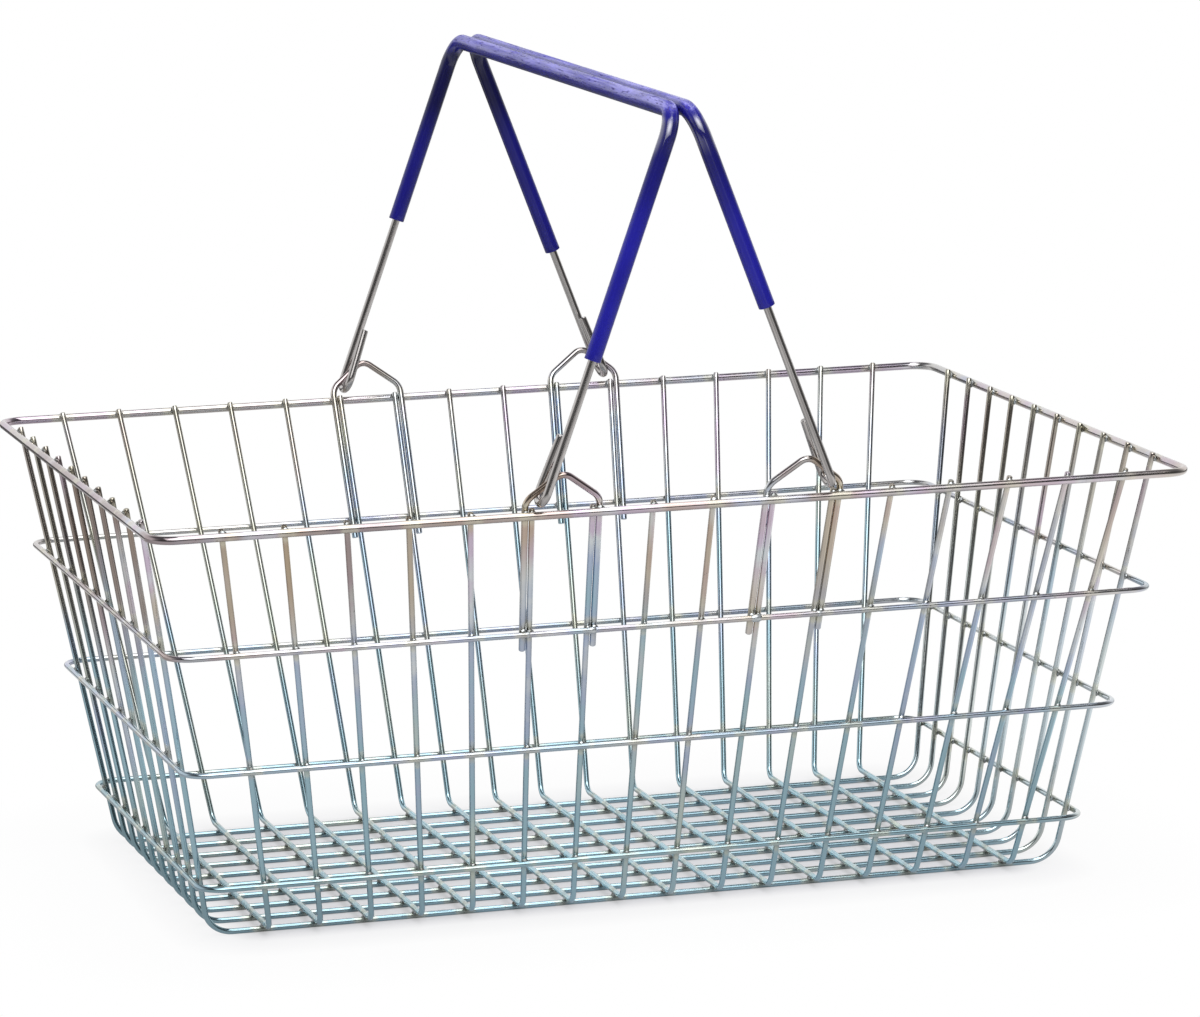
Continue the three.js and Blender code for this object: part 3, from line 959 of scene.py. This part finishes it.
@dataclass
class Tub:
    """The welded tub: four hoops around U-shaped cross wires and long wires."""

    wire: float = 2.8 * MM
    rim_wire: float = 4 * MM
    weld_gap: float = 0.3 * MM
    rim_height: float = 208 * MM
    hoop_spacing: float = 60 * MM
    base_length: float = 430 * MM
    base_width: float = 226 * MM
    top_length: float = 501 * MM
    top_width: float = 363 * MM
    hoop_corner: float = 12 * MM
    stub: float = 1.2 * MM
    cross_count: int = 16
    cross_margin: Span = (27.5 * MM, 29.25 * MM)
    cross_bend: float = 7 * MM
    long_count: int = 10
    long_margin: Span = (11.75 * MM, 37.5 * MM)
    long_bend: float = 14 * MM
    hoops: tuple[str, ...] = ("rim_wire", "hoop_upper", "hoop_middle", "hoop_lower")
    bend_steps: int = 14
    finish: Finish = ZincPassivate()
    # The hoops' finish: a darker copy of the wires' as painted shade, with less weld burn, less brown at the
    # right end and a mauve blush.
    hoop_finish: Finish = ZincPassivate(
        name="zinc_hoop", shade=0.92, burn=0.3, blush=0.24, end_brown=0.05
    )
    nugget: Vector = field(default_factory=lambda: Vector((1.75, 1.75, 1.0)) * MM)
    rim_nugget: Vector = field(default_factory=lambda: Vector((2.1, 2.1, 1.1)) * MM)

    @property
    def side_slope(self) -> float:
        """How far a long wall leans out for each metre of height."""
        return (self.top_width - self.base_width) / 2 / self.rim_height

    @property
    def end_slope(self) -> float:
        """How far an end wall leans out for each metre of height."""
        return (self.top_length - self.base_length) / 2 / self.rim_height

    @property
    def long_floor(self) -> float:
        """Height of the long wires' axes on the floor."""
        return self.wire / 2

    @property
    def cross_floor(self) -> float:
        """Height of the cross wires' axes on the floor, above the long wires."""
        return self.long_floor + self.wire + self.weld_gap

    @property
    def wire_top(self) -> float:
        """Height at which the wires are cut off above the rim."""
        return self.rim_height + self.rim_wire / 2 + self.stub

    def wall_y(self, z: float) -> float:
        """Half the tub's width at a height."""
        return self.base_width / 2 + self.side_slope * z

    def wall_x(self, z: float) -> float:
        """Half the tub's length at a height."""
        return self.base_length / 2 + self.end_slope * z

    def _pitch(self, half: float, margin: Span, count: int, z: float) -> float:
        """The spacing of wires at a height, from the wall's half size and the margin beside the last wire."""
        share = z / self.rim_height
        beside = margin[0] * (1 - share) + margin[1] * share
        return 2 * (half - beside) / (count - 1)

    def cross_x(self, place: float, z: float) -> float:
        """Where a cross wire is along the basket, at a height."""
        return place * self._pitch(self.wall_x(z), self.cross_margin, self.cross_count, z)

    def long_y(self, place: float, z: float) -> float:
        """Where a long wire is across the basket, at a height."""
        return place * self._pitch(self.wall_y(z), self.long_margin, self.long_count, z)

    def places(self, count: int) -> list[float]:
        """Places of a row of wires, counted from its middle."""
        return [i - (count - 1) / 2 for i in range(count)]

    def side_normal(self, depth: Depth) -> Vector:
        """The way out of a long wall."""
        return Vector((0, depth.value, -self.side_slope)).normalized()

    def end_normal(self, hand: Hand) -> Vector:
        """The way out of an end wall."""
        return Vector((hand.value, 0, -self.end_slope)).normalized()

    def hoop_wire(self, index: int) -> float:
        """Thickness of a hoop, counted from the rim."""
        return self.rim_wire if index == 0 else self.wire

    def hoop_height(self, index: int) -> float:
        """Height of a hoop, counted from the rim."""
        return self.rim_height - index * self.hoop_spacing

    def hoop_half(self, index: int) -> Span:
        """Half the length and half the width of a hoop's axis."""
        z = self.hoop_height(index)
        clear = self.wire / 2 + self.weld_gap + self.hoop_wire(index) / 2
        return (
            self.wall_x(z) + clear * math.hypot(1, self.end_slope),
            self.wall_y(z) + clear * math.hypot(1, self.side_slope),
        )

    def hoop_route(self, index: int) -> Route:
        """The axis of a hoop, counted from the rim."""
        x, y = self.hoop_half(index)
        z = self.hoop_height(index)
        corners = [Vector((x, -y, z)), Vector((x, y, z)), Vector((-x, y, z)), Vector((-x, -y, z))]
        return Route(self.hoops[index], corners, [self.hoop_corner] * 4, closed=True)

    def cross_route(self, index: int) -> Route:
        """The axis of a cross wire, counted from the left."""
        place = self.places(self.cross_count)[index]
        heights = [(-1, self.wire_top), (-1, self.cross_floor), (1, self.cross_floor), (1, self.wire_top)]
        corners = [Vector((self.cross_x(place, z), side * self.wall_y(z), z)) for side, z in heights]
        return Route(f"cross_wire_{index + 1:02d}", corners, [0.0, self.cross_bend, self.cross_bend, 0.0])

    def long_route(self, index: int) -> Route:
        """The axis of a long wire, counted from the front."""
        place = self.places(self.long_count)[index]
        heights = [(-1, self.wire_top), (-1, self.long_floor), (1, self.long_floor), (1, self.wire_top)]
        corners = [Vector((end * self.wall_x(z), self.long_y(place, z), z)) for end, z in heights]
        return Route(f"long_wire_{index + 1:02d}", corners, [0.0, self.long_bend, self.long_bend, 0.0])

    def seam(self, index: int, on_hoop: Vector, outward: Vector) -> Vector:
        """The middle of the gap between a hoop and a wire inside it.

        Args:
            index: The hoop, counted from the rim.
            on_hoop: A point of the hoop's axis.
            outward: The way out of the wall.

        Returns:
            The point that both wires nearly touch.
        """
        return on_hoop - outward * (self.hoop_wire(index) + self.weld_gap) / 2

    def welds(self) -> list[WeldPoint]:
        """The weld points of the hoops and of the floor."""
        found = []
        for index in range(len(self.hoops)):
            x, y = self.hoop_half(index)
            z = self.hoop_height(index)
            size = self.rim_nugget if index == 0 else self.nugget
            for depth in Depth:
                out = self.side_normal(depth)
                for place in self.places(self.cross_count):
                    at = Vector((self.cross_x(place, z), depth.value * y, z))
                    found.append(WeldPoint(self.seam(index, at, out), out, Vector((1, 0, 0)), size))
            for hand in Hand:
                out = self.end_normal(hand)
                for place in self.places(self.long_count):
                    at = Vector((hand.value * x, self.long_y(place, z), z))
                    found.append(WeldPoint(self.seam(index, at, out), out, Vector((0, 1, 0)), size))
        low = self.wire + self.weld_gap / 2
        for cross in self.places(self.cross_count):
            for long in self.places(self.long_count):
                at = Vector((self.cross_x(cross, self.cross_floor), self.long_y(long, self.long_floor), low))
                found.append(WeldPoint(at, Vector((0, 0, 1)), Vector((1, 0, 0)), self.nugget))
        return found

    def build(self, shop: Workshop) -> list[Thing]:
        """Draws the tub's wires.

        Args:
            shop: The workshop that makes the pieces.

        Returns:
            The finished pieces.
        """
        pieces = []
        for i in range(len(self.hoops)):
            radius = self.hoop_wire(i) / 2
            hoop = shop.wire(self.hoop_route(i), radius, self.hoop_finish, Body.BASKET, self.bend_steps)
            pieces.append(hoop)
        routes = [self.cross_route(i) for i in range(self.cross_count)]
        routes += [self.long_route(i) for i in range(self.long_count)]
        pieces += [shop.wire(route, self.wire / 2, self.finish, Body.BASKET) for route in routes]
        return pieces


@dataclass
class Brackets:
    """Four arched wires on the long walls, which the handles hook onto. Rises follow the wall."""

    tub: Tub
    wire: float = 3.2 * MM
    pitches: int = 2
    peak: float = 21.5 * MM
    peak_bend: float = 6 * MM
    shoulder: float = 7.2 * MM
    shoulder_bend: float = 8 * MM
    tail: float = 9 * MM
    bend_steps: int = 12
    finish: Finish = ZincPassivate()
    pad: Vector = field(default_factory=lambda: Vector((3.3, 1.75, 1.55)) * MM)

    @property
    def lean(self) -> float:
        """Length along the long wall for each metre of height."""
        return math.hypot(1, self.tub.side_slope)

    def height(self, rise: float) -> float:
        """Height of a point at a rise along the wall from the rim."""
        return self.tub.rim_height + rise / self.lean

    @property
    def foot(self) -> float:
        """Height of the legs' cut ends."""
        return self.height(-self.tub.hoop_spacing * self.lean - self.tail)

    def y(self, z: float) -> float:
        """Half the distance between the front and back brackets at a height."""
        return self.tub.wall_y(z) - (self.wire - self.tub.wire) / 2 * self.lean

    def leg_x(self, aside: int, z: float) -> float:
        """Where a leg is along the basket, on the far (1) or near (-1) side of its arch."""
        clear = (self.tub.wire + self.wire) / 2 + self.tub.weld_gap
        return self.tub.cross_x(self.pitches + aside / 2, z) + aside * clear

    @property
    def arch_peak(self) -> Vector:
        """The arch's top corner, on the back right bracket."""
        z = self.height(self.peak)
        return Vector((self.tub.cross_x(self.pitches, z), self.y(z), z))

    def leg(self, aside: int, z: float) -> Vector:
        """A point of a leg's axis, on the back right bracket."""
        return Vector((self.leg_x(aside, z), self.y(z), z))

    def route(self, depth: Depth, hand: Hand) -> Route:
        """The axis of one bracket."""
        top = self.height(self.shoulder)
        near, far = ([self.leg(aside, z) for z in (self.foot, top)] for aside in (-1, 1))
        corners = [*near, self.arch_peak, *reversed(far)]
        placed = [Vector((c.x * hand.value, c.y * depth.value, c.z)) for c in corners]
        bends = [0.0, self.shoulder_bend, self.peak_bend, self.shoulder_bend, 0.0]
        return Route(f"handle_bracket_{depth.word}_{hand.word}", placed, bends)

    def welds(self) -> list[WeldPoint]:
        """The weld points of the legs, each with a nugget and a pressed pad on the hoop."""
        found = []
        for index in (0, 1):
            _, y = self.tub.hoop_half(index)
            z = self.tub.hoop_height(index)
            for depth in Depth:
                out = self.tub.side_normal(depth)
                for hand in Hand:
                    for aside in (-1, 1):
                        at = Vector((hand.value * self.leg_x(aside, z), depth.value * y, z))
                        along = Vector((1, 0, 0))
                        seam = self.tub.seam(index, at, out)
                        found.append(WeldPoint(seam, out, along, self.tub.rim_nugget))
                        if index == 1:
                            beside = Vector((-hand.value * aside * self.wire / 2, 0, 0))
                            found.append(WeldPoint(at + beside, out, along, self.pad, 1.0))
        return found

    def build(self, shop: Workshop) -> list[Thing]:
        """Draws the four brackets."""
        routes = [self.route(depth, hand) for depth in Depth for hand in Hand]
        return [shop.wire(r, self.wire / 2, self.finish, Body.BASKET, self.bend_steps) for r in routes]


@dataclass
class Handle:
    """One handle: a wire with a hairpin hook at each foot, and a vinyl sleeve over its bar.

    Its points are drawn in its own upright plane, with the swing axis along Y through the origin.
    """

    brackets: Brackets
    hand: Hand
    wire: float = 4 * MM
    sleeve_outside: float = 8 * MM
    sleeve_gap: float = 0.3 * MM
    grip_gap: float = 0.4 * MM
    hook_seat: float = 0.46
    hook_drop: float = 8.7 * MM
    hook_bend: float = 6.5 * MM
    hook_return: float = 33 * MM
    tip_gap: float = 5 * MM
    grip_height: float = 394 * MM
    bend: float = 14 * MM
    bend_steps: int = 14
    sleeve_ends: Span = (84 * MM, 62 * MM)

    @property
    def body(self) -> Body:
        """The body of this handle."""
        return Body.HANDLE_LEFT if self.hand is Hand.LEFT else Body.HANDLE_RIGHT

    @property
    def seat(self) -> Vector:
        """Where the hook holds the outer flank of the arch, on the back right bracket."""
        shoulder = self.brackets.leg(1, self.brackets.height(self.brackets.shoulder))
        return self.brackets.arch_peak.lerp(shoulder, self.hook_seat)

    @property
    def rise(self) -> Vector:
        """From the swing axis to the bar, seen along the axis: across, 0, up."""
        across = (self.sleeve_outside + self.grip_gap) / 2 - self.seat.x
        return Vector((across, 0, self.grip_height - self.seat.z))

    @property
    def leg_y(self) -> float:
        """Half the distance between the two legs."""
        return self.seat.y + self.hook_bend

    def placed(self, points: list[Vector]) -> list[Vector]:
        """Points of the upright plane, leaned over to the bar and put at their end of the basket."""
        lean = math.atan2(self.rise.x, self.rise.z)
        turn = Matrix.Rotation(0.0 if self.hand is Hand.RIGHT else math.pi, 4, "Z")
        seat = Matrix.Translation((self.seat.x, 0, self.seat.z))
        place = turn @ seat @ Matrix.Rotation(lean, 4, "Y")
        return [place @ p for p in points]

    def hook(self, side: int) -> list[Vector]:
        """Corners of one hook, from the tip of its return leg to the foot of the main leg."""
        tip = Vector((self.leg_y - self.wire - self.tip_gap, self.hook_return - self.hook_drop))
        reach = tip - Vector((self.seat.y, self.hook_bend - self.hook_drop))
        slant = math.atan2(reach.x, reach.y) + math.asin(self.hook_bend / reach.length)
        inner = self.seat.y - self.hook_bend * math.tan(math.pi / 4 + slant / 2)
        return [
            Vector((0, side * tip.x, tip.y)),
            Vector((0, side * inner, -self.hook_drop)),
            Vector((0, side * self.leg_y, -self.hook_drop)),
        ]

    def bar(self) -> list[Vector]:
        """The two upper corners."""
        return [Vector((0, side * self.leg_y, self.rise.length)) for side in (-1, 1)]

    def wire_route(self) -> Route:
        """The axis of the handle wire."""
        corners = [*self.hook(-1), *self.bar(), *reversed(self.hook(1))]
        half = [0.0, self.hook_bend, self.hook_bend, self.bend]
        bends = [*half, *reversed(half)]
        return Route(f"handle_wire_{self.hand.word}", self.placed(corners), bends)

    def sleeve_route(self) -> Route:
        """The axis of the sleeve, further down one leg than the other."""
        ends = [Vector((0, side * self.leg_y, z)) for side, z in zip((-1, 1), self.sleeve_ends)]
        corners = [ends[0], *self.bar(), ends[1]]
        return Route(f"grip_sleeve_{self.hand.word}", self.placed(corners), [0.0, self.bend, self.bend, 0.0])

    def build(self, shop: Workshop) -> list[Thing]:
        """Makes the wire and its sleeve."""
        wall = (self.sleeve_outside - self.wire) / 2 - self.sleeve_gap
        return [
            shop.wire(self.wire_route(), self.wire / 2, HandleSteel(), self.body, self.bend_steps),
            shop.sleeve(self.sleeve_route(), self.sleeve_outside / 2, wall, GripVinyl(), self.body),
        ]


@dataclass
class Softbox:
    """A soft lamp that looks at the basket, with a face that may fade from its middle to its edge.

    Angles are in degrees, as for views of the basket. The fade is in shares of the face's size.
    """

    name: str
    azimuth: float
    elevation: float
    distance: float
    width: float
    height: float
    watts: float
    middle: float = 1.0
    edge: float = 1.0
    fade: Span = (0.03, 0.5)
    aim: Vector = field(default_factory=lambda: Vector((0, 0, 0.15)))

    def shine(self, data: bpy.types.Light) -> None:
        """Fades the lamp's face from its middle to its edge."""
        build = ShaderBuilder.cleared(data)
        face = build.add("ShaderNodeNewGeometry").outputs["Parametric"]
        out = build.measure("DISTANCE", face, (0.5, 0.5, 0.0))
        level = build.remap(out, *self.fade, self.middle, self.edge)
        glow = build.first("ShaderNodeEmission", {"Color": (*WHITE, 1.0), "Strength": level})
        build.add("ShaderNodeOutputLight", {"Surface": glow})

    def build(self) -> Thing:
        """Hangs the lamp."""
        data = bpy.data.lights.new(self.name, "AREA")
        data.shape = "RECTANGLE"
        data.size = self.width
        data.size_y = self.height
        data.energy = self.watts
        self.shine(data)
        lamp = stand(self.name, data)
        a, e = math.radians(self.azimuth), math.radians(self.elevation)
        away = Vector((math.sin(a) * math.cos(e), -math.cos(a) * math.cos(e), math.sin(e)))
        lamp.location = self.aim + away * self.distance
        lamp.rotation_euler = away.to_track_quat("Z", "Y").to_euler()
        return lamp


@dataclass
class Studio:
    """White floor, soft lamps, the studio around and the camera.

    Steps pair a place from 0 to 1 with a grey level: away from the basket for the floor's shade, along or
    aside of the camera's view for the floor in a mirror, and towards the bright side for the room.
    """

    floor_size: float = 60.0
    floor_drop: float = 0.1 * MM
    floor_white: Colour = (0.60, 0.59, 0.63)
    shaded_half: Span = (0.19, 0.105)
    shade_reach: float = 0.25
    shade: Steps = ((0.0, 0.42), (0.06, 0.8), (0.18, 0.96), (0.5, 1.0))
    mirrored_shade: float = 1.5
    floor_reach: float = 2.0
    floor_along: Steps = (
        (0.0, 0.05), (0.1, 0.2), (0.18, 0.42), (0.28, 0.5), (0.385, 0.8), (0.415, 0.75), (0.435, 0.67),
        (0.457, 0.62), (0.475, 0.55), (0.55, 0.5), (0.62, 0.8), (0.72, 0.13),
    )
    floor_aside: Steps = ((0.2, 0.95), (0.35, 0.9), (0.5, 0.35), (0.7, 0.12))
    aside_from: Span = (0.24, 0.36)
    bright_side: tuple[float, float, float] = (-0.11, 0.994, 0.0)
    room: Steps = ((0.0, 0.05), (0.2, 0.08), (0.36, 0.14), (0.5, 0.4), (0.66, 1.0))
    ceiling: Colour = (0.16, 0.16, 0.17)
    ceiling_from: Span = (0.45, 0.8)
    eye: Vector = field(default_factory=lambda: Vector((-0.7918, -2.7161, 0.6754)))
    turn: float = 16.508
    tilt: float = 10.009
    roll: float = -0.937
    lens: float = 172.79
    sensor: float = 36.0
    view_reach: float = 200.0
    lamps: tuple[Softbox, ...] = (
        Softbox("front", -9, 46, 2.6, 2.9, 2.75, 54, middle=2.5, edge=0.62),
        Softbox("overhead", 90, 80, 1.7, 1.6, 0.55, 7),
    )

    def floor_paper(self) -> bpy.types.Material:
        """The floor's material: white to the camera, shaded under the basket, and dimmer in a mirror.

        Returns:
            The material.
        """
        material = bpy.data.materials.new("white_floor")
        build = ShaderBuilder.cleared(material)
        place = build.object_place()
        path = build.add("ShaderNodeLightPath").outputs
        mirrored = build.maths("MAXIMUM", path["Is Glossy Ray"], path["Is Transmission Ray"])
        outside = build.vector("SUBTRACT", build.vector("ABSOLUTE", place), (*self.shaded_half, 1.0))
        away = build.measure("LENGTH", build.vector("MAXIMUM", outside))
        lit = build.levels(build.maths("DIVIDE", away, self.shade_reach), self.shade)
        lit = build.maths("POWER", lit, build.plus(build.times(mirrored, self.mirrored_shade), 1.0))
        share = build.times(build.maths("MAXIMUM", path["Is Camera Ray"], mirrored), lit)

        sine, cosine = math.sin(math.radians(self.turn)), math.cos(math.radians(self.turn))
        ahead = build.measure("DOT_PRODUCT", place, (sine, cosine, 0.0))
        aside = build.measure("DOT_PRODUCT", place, (cosine, -sine, 0.0))
        along = build.plus(build.maths("DIVIDE", ahead, 2 * self.floor_reach), 0.5)
        right = build.levels(build.maths("DIVIDE", aside, self.floor_reach), self.floor_aside)
        seen = build.mix(build.remap(aside, *self.aside_from), build.levels(along, self.floor_along), right)
        colour = build.mix(path["Is Camera Ray"], seen, WHITE)
        paper = build.first("ShaderNodeBsdfDiffuse", {"Color": (*self.floor_white, 1.0)})
        glow = build.first("ShaderNodeEmission", {"Color": colour, "Strength": 1.0})
        mixed = build.first("ShaderNodeMixShader", {0: share, 1: paper, 2: glow})
        build.add("ShaderNodeOutputMaterial", {"Surface": mixed})
        return material

    def floor(self) -> Thing:
        """Lays the floor, which keeps the basket's shadow."""
        half = self.floor_size / 2
        sides = ((-half, -half), (half, -half), (half, half), (-half, half))
        mesh = bpy.data.meshes.new("floor")
        mesh.from_pydata([(x, y, -self.floor_drop) for x, y in sides], [], [(0, 1, 2, 3)])
        mesh.materials.append(self.floor_paper())
        floor = stand("floor", mesh)
        return floor

    def world(self) -> None:
        """Sets the studio around: a white backdrop beyond the basket and a dimmer room on other sides."""
        world = bpy.data.worlds.new("studio")
        build = ShaderBuilder.cleared(world)
        direction = build.add("ShaderNodeTexCoord").outputs["Generated"]
        bright = build.measure("DOT_PRODUCT", direction, self.bright_side)
        around = build.levels(build.plus(build.times(bright, 0.5), 0.5), self.room)
        above = build.remap(build.split(direction)[2], *self.ceiling_from)
        around = build.mix(above, around, self.ceiling)
        camera = build.add("ShaderNodeLightPath").outputs["Is Camera Ray"]
        colour = build.mix(camera, around, WHITE)
        sky = build.first("ShaderNodeBackground", {"Color": colour, "Strength": 1.0})
        build.add("ShaderNodeOutputWorld", {"Surface": sky})
        bpy.context.scene.world = world

    def camera(self) -> None:
        """Sets the camera at the photograph's viewing angle."""
        data = bpy.data.cameras.new("camera")
        data.sensor_fit = "HORIZONTAL"
        data.sensor_width = self.sensor
        data.lens = self.lens
        data.clip_end = self.view_reach
        camera = stand("camera", data)
        turned = Matrix.Rotation(-math.radians(self.turn), 4, "Z")
        tilted = Matrix.Rotation(math.radians(90 - self.tilt), 4, "X")
        rolled = Matrix.Rotation(math.radians(self.roll), 4, "Z")
        camera.matrix_world = Matrix.Translation(self.eye) @ turned @ tilted @ rolled
        bpy.context.scene.camera = camera

    def build(self) -> None:
        """Sets up the studio."""
        self.floor()
        for lamp in self.lamps:
            lamp.build()
        self.world()
        self.camera()
        bpy.context.scene.view_settings.view_transform = "Standard"


def main() -> None:
    """Builds the basket's pieces and the studio."""
    logging.basicConfig(level=logging.INFO, format="%(name)s: %(message)s")
    tub = Tub()
    brackets = Brackets(tub)
    shop = Workshop(tub.welds() + brackets.welds())
    pieces = tub.build(shop) + brackets.build(shop)
    for hand in Hand:
        pieces += Handle(brackets, hand).build(shop)
    pieces.append(shop.nuggets(Body.BASKET))
    LOG.info("%d pieces stand for %d nodes", len(pieces), len(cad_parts))
    Studio().build()


if __name__ == "__main__":
    main()
